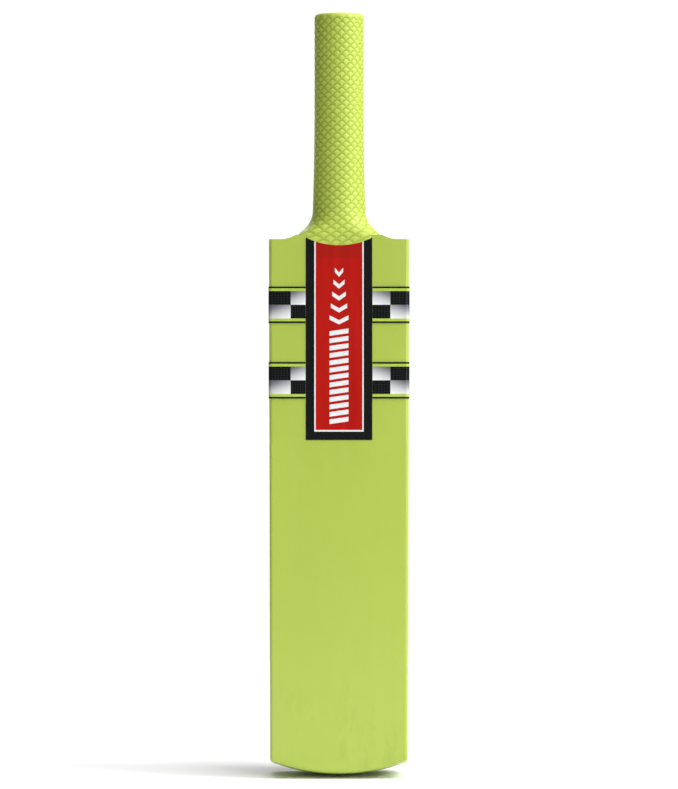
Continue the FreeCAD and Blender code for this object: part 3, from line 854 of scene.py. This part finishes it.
def disc_dots(centre, radius):
    """Rows of black dots at 45 degrees across the dotted disc."""
    dots = []
    rows, steps = math.ceil(radius / DISC_ROW_PITCH), math.ceil(radius / DISC_DOT_PITCH)
    for row in range(-rows, rows + 1):
        for step in range(-steps, steps + 1):
            across, along = row * DISC_ROW_PITCH, step * DISC_DOT_PITCH
            x = centre[0] + (across - along) / math.sqrt(2)
            z = centre[1] + (along + across) / math.sqrt(2)
            in_disc = math.hypot(x - centre[0], z - centre[1]) < radius - DISC_DOT
            if in_disc and x < PRINT_HALF_WIDTH - DISC_DOT:
                dots.append(arc((x, z), DISC_DOT, 0.0, 315.0, 7))
    return dots


def back_print(surface, inks):
    """Everything printed on the black back film."""
    def layer(name, outline, material, lift=INK_LIFT):
        print_layer(name, outline, surface, 1, material, lift)

    toe = [(x, toe_line(x)) for x in range(-38, 61, 7)]
    zone = smooth_line(MESH_EDGE) + toe[1:] + [(60.0, MESH_TOP)]
    layer("mesh_toe", zone, inks["carbon"], MESH_LIFT)
    ring_zone = arc(RING_HOLE_CENTRE, RING_HOLE_RADIUS - 1.0, 190.0, 350.0)
    layer("mesh_ring", ring_zone, inks["carbon"], MESH_LIFT)
    layer("ring_crescent", crescent(), inks["lime"])
    layer("silver_disc", arc(*SILVER_DISC, 0.0, 355.0, 48), inks["silver_disc"], OVERPRINT_LIFT)
    layer("dotted_disc", arc(*DOTTED_DISC, 0.0, 355.0, 48), inks["lime"])
    print_dots("dotted_disc_dots", disc_dots(*DOTTED_DISC), surface, 1, inks["black"],
               OVERPRINT_LIFT)
    layer("lime_swoosh", swoosh_outline(SWOOSH_SOLID_END), inks["lime"])
    whole = swoosh_outline(SWOOSH_END)
    dark = halftone(whole, SWOOSH_SOLID_END, DARK_DOTS_TOP, FULL_DOT, SMALLEST_DARK_DOT, 0)
    print_dots("swoosh_dark_dots", dark, surface, 1, inks["black"], OVERPRINT_LIFT)
    light = halftone(whole, LIGHT_DOTS_END, SWOOSH_SOLID_END, SMALLEST_LIGHT_DOT, FULL_DOT, 1)
    print_dots("swoosh_light_dots", light, surface, 1, inks["lime_dots"], INK_LIFT)
    layer("silver_swoosh", smooth_line(SILVER_LEFT) + smooth_line(SILVER_RIGHT)[::-1], inks["silver_swoosh"])
    for name, (left, right) in (("lime_blade_outer", BLADE_A), ("lime_blade_inner", BLADE_B)):
        layer(name, smooth_line(left) + smooth_line(right)[:-1], inks[name])
    layer("ridge_line", RIDGE_LINE, inks["faint"])


# --- grip ---

def handle_centre(z):
    """Middle of the handle (m) at height z (mm): it leans towards the face as it rises."""
    y = HANDLE_TOP_Y + (GRIP_TOP - z) * math.tan(math.radians(HANDLE_LEAN))
    return Vector((0, y * MM, z * MM))


def scale_relief(across, down):
    """Height from 0 to 1 of one moulded scale; across is -1 to 1, down is 0 at its top to 1 at its point."""
    shoulder = 0.5 * (1.0 - np.abs(across)) ** SCALE_SHAPE
    tail = 0.5 * np.abs(across) ** SCALE_SHAPE
    under_top = (down - (0.5 - shoulder)) / SCALE_RISE
    over_tail = ((1.0 - tail) - down) / SCALE_FALL
    level = np.clip(np.minimum(under_top, over_tail), 0.0, 1.0)
    return 1.0 - (1.0 - level) ** SCALE_CROWN


def relief_at(turn, below):
    """Relief of the whole pattern: turn is 0 to 1 round the handle, below is mm under the rim."""
    best = np.zeros_like(turn)
    for parity in (0, 1):
        row_length = 2 * SCALE_ROW
        down = ((below - parity * SCALE_ROW) % row_length) / row_length
        across = ((turn * SCALES_ROUND + 0.5 * parity) % 1.0) * 2.0 - 1.0
        best = np.maximum(best, scale_relief(across, down))
    return best


def outwards(angle):
    return Vector((math.cos(angle), math.sin(angle), 0))


def outer_point(surface, angle, z):
    """The outermost grip point in a direction at height z, or None below its lower edge."""
    for nudge in (0.0, 0.0007, -0.0007, 0.0015, -0.0015):
        outward = outwards(angle + nudge)
        centre = handle_centre(z)
        place, _, _, _ = surface.ray_cast(centre + outward * 0.07, -outward)
        if place is not None and (place - centre).dot(outward) > 0.012:
            return place
    return None


def firm_point(surface, angle, z):
    """outer_point, taken a little higher or lower where the ray slips through a seam."""
    for step in (0.0, 0.4, -0.4, 0.9, -0.9, 1.6):
        place = outer_point(surface, angle, z + step)
        if place is not None:
            return Vector((place.x, place.y, z * MM))
    raise ValueError(f"the grip has no outer surface at {z} mm")


def wall_room(under, angle, place):
    """How deep (mm) the pattern may be pressed here before it meets the blade or a label."""
    inward = -outwards(angle)
    _, _, _, distance = under.ray_cast(place, inward, 0.01)
    return SCALE_DEPTH if distance is None else max(0.0, distance / MM - 0.25)


def lower_edge(surface, angle, top):
    """Height of the grip's lower edge in a direction, by halving."""
    low, high = GRIP_LOW - 1.0, top
    for _ in range(16):
        middle = (low + high) / 2
        if outer_point(surface, angle, middle) is None:
            low = middle
        else:
            high = middle
    return high + 0.05


def rim_point(surface, angle, tilt, radius):
    """A point of the rounded rim, cast towards the rounding's centre at the given tilt."""
    outward = outwards(angle)
    corner = handle_centre(RIM_CORNER) + outward * (radius * MM)
    direction = outward * math.cos(tilt) + Vector((0, 0, math.sin(tilt)))
    place, _, _, _ = surface.ray_cast(corner + direction * 0.02, -direction)
    return place


def scaled_grip(material):
    """The rubber sleeve: moulded scales outside, a rounded rim, an open top and a plain inner wall."""
    surface = surface_of("grip")
    columns = SCALES_ROUND * SCALE_COLUMNS
    angles = [2 * math.pi * column / columns for column in range(columns)]
    turns = np.array(angles) / (2 * math.pi)
    lows = [lower_edge(surface, angle, SHAFT_LOW) for angle in angles]
    rows = round((RIM_BASE - min(lows)) / SCALE_ROW) * SCALE_STEPS
    under = surface_of("blade", "back_film", "face_label", "spine_label")
    rings, relief, room = [], [], []
    for row in range(rows + 1):
        share = row / rows
        heights = [low + (RIM_BASE - low) * share for low in lows]
        ring = [firm_point(surface, angle, z) for angle, z in zip(angles, heights)]
        depth = relief_at(turns, RIM_BASE + PATTERN_SHIFT - np.array(heights))
        rings.append(ring)
        relief.append(depth)
        room.append([wall_room(under, angle, place) for angle, place in zip(angles, ring)])
    radii = [(place - handle_centre(RIM_BASE)).length / MM for place in rings[-1]]
    for number in range(RIM_STEPS + 1):
        tilt = 0.5 * math.pi * number / RIM_STEPS
        rings.append([rim_point(surface, angle, tilt, radius - RIM_RADIUS)
                      for angle, radius in zip(angles, radii)])
        rise = RIM_CORNER - RIM_BASE + RIM_RADIUS * tilt
        pattern = relief_at(turns, np.full(columns, PATTERN_SHIFT - rise))
        fade = min(1.0, 2.0 * number / RIM_STEPS)
        relief.append(pattern * (1.0 - fade) + RIM_RELIEF * fade)
        room.append([SCALE_DEPTH] * columns)
    return assemble_grip(rings, relief, room, angles, material)


def assemble_grip(rings, relief, room, angles, material):
    """Turns the outer rings into the closed sleeve, with the pattern pressed into its surface."""
    columns = len(angles)
    points, values = [], []
    for ring, depth, allowed in zip(rings, relief, room):
        for angle, place, height, most in zip(angles, ring, depth, allowed):
            pressed = (1.0 - height) * min(SCALE_DEPTH, most)
            points.append(place - outwards(angle) * (pressed * MM))
            values.append(height)
    pattern_rings = len(rings) - RIM_STEPS - 1
    last = rings[-1]
    centre = sum(last, Vector()) / columns
    hole = [centre + (place - centre).normalized() * (GRIP_HOLE_RADIUS * MM) for place in last]
    # The rim's top and the inner wall carry fixed relief values; in the rubber's colour these are painted
    # shade, darker down the hole and on the inner wall.
    for share in (0.35, 0.8, 1.0):
        points += [place.lerp(end, share) for place, end in zip(last, hole)]
        values += [0.8] * columns
    points += [place - Vector((0, 0, GRIP_WALL * MM)) for place in hole]
    values += [0.5] * columns
    inner_rings = [pattern_rings - 1] + [pattern_rings * share // 16 for share in (12, 8, 4, 2, 1, 0)]
    for number in inner_rings:
        for angle, place in zip(angles, rings[number]):
            drop_down = 0.6 if number == pattern_rings - 1 else 0.0
            inward = outwards(angle) * (GRIP_WALL * MM)
            points.append(place - inward - Vector((0, 0, drop_down * MM)))
            values.append(0.3)
    count = len(points) // columns
    faces = []
    for ring in range(count):
        above = (ring + 1) % count
        for column in range(columns):
            after = (column + 1) % columns
            faces.append((ring * columns + column, ring * columns + after, above * columns + after,
                          above * columns + column))
    grip = new_piece("scaled_grip", points, faces, [material], ("grip",))
    attribute = grip.data.attributes.new("relief", "FLOAT", "POINT")
    attribute.data.foreach_set("value", np.array(values, np.float32))
    return grip


# --- stage ---

def new_light(name, kind, energy, direction):
    """A light that shines in a direction."""
    data = bpy.data.lights.new(name, kind)
    data.energy = energy
    light = bpy.data.objects.new(name, data)
    light.rotation_mode = "QUATERNION"
    light.rotation_quaternion = Vector(direction).to_track_quat("-Z", "Y")
    bpy.context.scene.collection.objects.link(light)
    return light


def area_light(name, place, size, energy):
    """A rectangular light of size (m) that faces the middle of the bat."""
    light = new_light(name, "AREA", energy, Vector(LIGHTS_AIM) - Vector(place))
    light.location = place
    light.data.shape = "RECTANGLE"
    light.data.size, light.data.size_y = size


def studio():
    """A pale floor, a white surround, a soft sun for the floor and four large soft lights."""
    scene = bpy.context.scene
    rim = [(FLOOR_RADIUS * math.cos(turn), FLOOR_RADIUS * math.sin(turn), 0)
           for turn in np.linspace(0, 2 * math.pi, FLOOR_CORNERS, endpoint=False)]
    mesh = bpy.data.meshes.new("floor")
    mesh.from_pydata(rim, [], [tuple(range(len(rim)))])
    mesh.materials.append(pale_floor())
    floor = bpy.data.objects.new("floor", mesh)
    scene.collection.objects.link(floor)
    world = bpy.data.worlds.new("surround")
    world.use_nodes = True
    tree = world.node_tree
    tree.nodes.clear()
    seen = add_node(tree, "ShaderNodeBackground", Color=(1, 1, 1, 1), Strength=1.05)
    lighting = add_node(tree, "ShaderNodeBackground", Color=(1, 1, 1, 1), Strength=0.18)
    path = add_node(tree, "ShaderNodeLightPath")
    mixed = add_node(tree, "ShaderNodeMixShader", i0=path.outputs["Is Camera Ray"], i1=lighting.outputs[0],
                     i2=seen.outputs[0])
    add_node(tree, "ShaderNodeOutputWorld", Surface=mixed.outputs[0])
    scene.world = world
    sun = new_light("soft_sun", "SUN", 1.8, (-0.3, 0.2, -1.0))
    sun.data.angle = math.radians(50.0)
    area_light("key_front", (1.3, -2.0, 0.9), (1.0, 1.4), 21.3)
    area_light("side_right", (1.95, -0.5, 1.75), (1.0, 1.4), 54.0)
    area_light("back_top", (-0.3, 1.7, 2.0), (1.4, 1.0), 26.0)
    area_light("back_sheen", (-0.93, 2.85, 0.85), (1.5, 1.6), 14.0)
    scene.view_settings.view_transform = "Standard"


def camera():
    """A long lens level with the middle of the bat, square to its striking face."""
    low, high = CAD_BOX
    middle = (low + high) / 2
    data = bpy.data.cameras.new("camera")
    data.lens = 135.0
    frame_height = (high.z - low.z) / 0.975
    distance = frame_height / 2 / (data.sensor_width / 2 / data.lens)
    made = bpy.data.objects.new("camera", data)
    made.location = (middle.x, low.y - distance, middle.z)
    made.rotation_euler = (math.radians(90.0), 0, 0)
    bpy.context.scene.collection.objects.link(made)
    bpy.context.scene.camera = made


# --- the bat ---

def paint_node(name, material):
    mesh = NODES[name].data
    mesh.materials.clear()
    mesh.materials.append(material)


def build_bat():
    white = flat_ink("white_ink", (0.86, 0.86, 0.87), (0.78, 0.78, 0.80))
    red = label_red("face_red", (0.40, 0.0070, 0.0035), (0.49, 0.0105, 0.0055))
    paint_node("blade", lime_paint())
    paint_node("back_film", film_black())
    paint_node("spine_label", label_red("spine_red", (0.50, 0.012, 0.008), (0.62, 0.018, 0.012)))
    paint_node("twine_binding", thread("wound_twine", (0.62, 0.50, 0.33), (0.30, 0.22, 0.12), 0.0009))
    paint_node("grip_tape", thread("woven_tape", (0.80, 0.78, 0.72), (0.50, 0.48, 0.43), 0.0006))
    cane, rubber = cane_wood(), spring_rubber()
    for name in NODES:
        if name.startswith("cane_"):
            paint_node(name, cane)
        elif name.startswith("rubber_spring_"):
            paint_node(name, rubber)
    line = flat_ink("line_black", (0.011, 0.012, 0.013), (0.006, 0.007, 0.008))
    gap = flat_ink("gap_lime", (0.46, 0.62, 0.085), (0.40, 0.55, 0.070))
    for level in ("upper", "lower"):
        for side in ("left", "right"):
            chequer_band(level, side, [cell_silver(), cell_black(), line, gap])
    border = flat_ink("border_black", (0.0075, 0.0090, 0.0085), (0.0050, 0.0062, 0.0060), 0.2)
    framed_label(border, white, red)
    inks = {
        "black": flat_ink("black_ink", (0.006, 0.007, 0.007), (0.004, 0.004, 0.005)),
        "lime": lime_ink(),
        "carbon": carbon_print(),
        "faint": flat_ink("faint_line", (0.030, 0.033, 0.035), (0.020, 0.022, 0.024)),
        "silver_disc": fading_ink("disc_silver", 242.3, 270.7, [
            (0.0, (0.66, 0.66, 0.68)), (0.3, (0.48, 0.48, 0.50)), (0.65, (0.19, 0.20, 0.22)),
            (1.0, (0.12, 0.12, 0.14))]),
        "silver_swoosh": fading_ink("swoosh_silver", 50.0, 180.0, [
            (0.0, (0.92, 0.92, 0.93)), (0.21, (0.86, 0.86, 0.87)), (0.31, (0.16, 0.16, 0.17)),
            (0.45, (0.055, 0.055, 0.058)), (0.65, (0.028, 0.028, 0.030)), (1.0, (0.010, 0.010, 0.011))]),
        "lime_dots": fading_ink("dots_lime", 20.0, 80.0, [
            (0.0, (0.08, 0.12, 0.03)), (0.45, (0.36, 0.55, 0.10)), (1.0, (0.45, 0.74, 0.06))]),
        "lime_blade_outer": fading_ink("outer_lime", 6.0, 76.0, [
            (0.0, (0.33, 0.59, 0.05)), (0.62, (0.29, 0.52, 0.045)), (1.0, (0.02, 0.04, 0.01))]),
        "lime_blade_inner": fading_ink("inner_lime", 4.0, 88.0, [
            (0.0, (0.42, 0.74, 0.06)), (0.25, (0.30, 0.54, 0.045)), (0.62, (0.27, 0.49, 0.04)),
            (1.0, (0.02, 0.04, 0.01))]),
    }
    back = surface_of("back_film", "blade", "spine_label")
    back_print(back, inks)
    generic_mark("face", surface_of("face_label"), -1, 258.5, 374.5, 6.9, white)
    generic_mark("spine", back, 1, 263.0, 386.0, 6.0, white)
    scaled_grip(grip_rubber())


build_bat()
studio()
camera()
